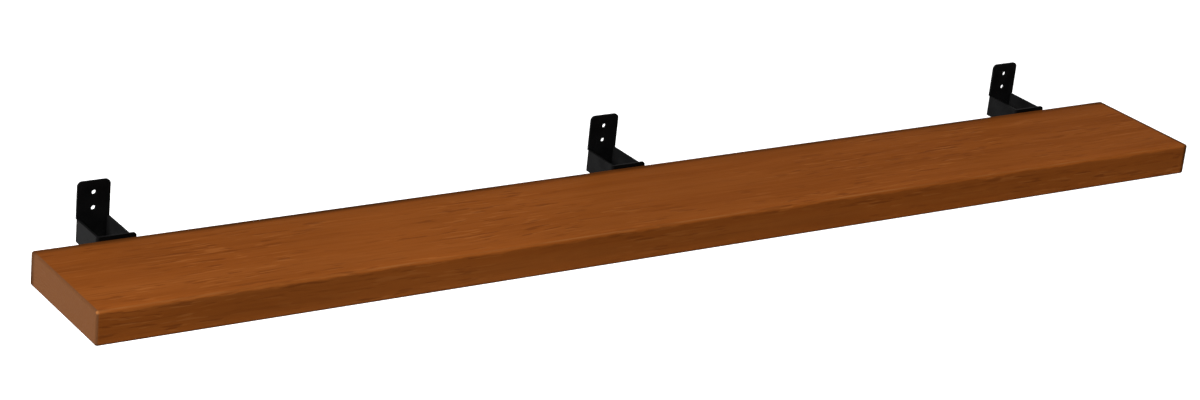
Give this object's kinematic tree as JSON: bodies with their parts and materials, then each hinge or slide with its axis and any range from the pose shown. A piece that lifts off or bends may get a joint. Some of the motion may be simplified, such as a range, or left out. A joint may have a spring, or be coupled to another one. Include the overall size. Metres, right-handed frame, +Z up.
{
  "type": "floating wall shelf",
  "caption": "Long thick wooden wall shelf on folded black steel stand-off brackets with concealed support rods.",
  "frame": {"origin": "middle of the centre bracket's two wall holes, on the wall plane", "axes": "+X along the board to the right seen from the front, +Y into the wall, +Z up"},
  "size_m": [1.829, 0.271, 0.1045],
  "materials": {
    "board": "satin oiled wood",
    "bracket": "satin black powder coat",
    "rod": "zinc plated",
    "fastener": "zinc plated",
    "insert": "brass"
  },
  "bodies": {
    "root": {"shelf_board": "board", "left_wall_bracket": "bracket", "left_support_rod": "rod", "left_rod_bolt": "fastener", "left_rod_washer": "fastener", "left_lock_insert": "insert", "left_lock_screw": "fastener", "centre_wall_bracket": "bracket", "centre_support_rod": "rod", "centre_rod_bolt": "fastener", "centre_rod_washer": "fastener", "centre_lock_insert": "insert", "centre_lock_screw": "fastener", "right_wall_bracket": "bracket", "right_support_rod": "rod", "right_rod_bolt": "fastener", "right_rod_washer": "fastener", "right_lock_insert": "insert", "right_lock_screw": "fastener"}
  },
  "joints": []
}
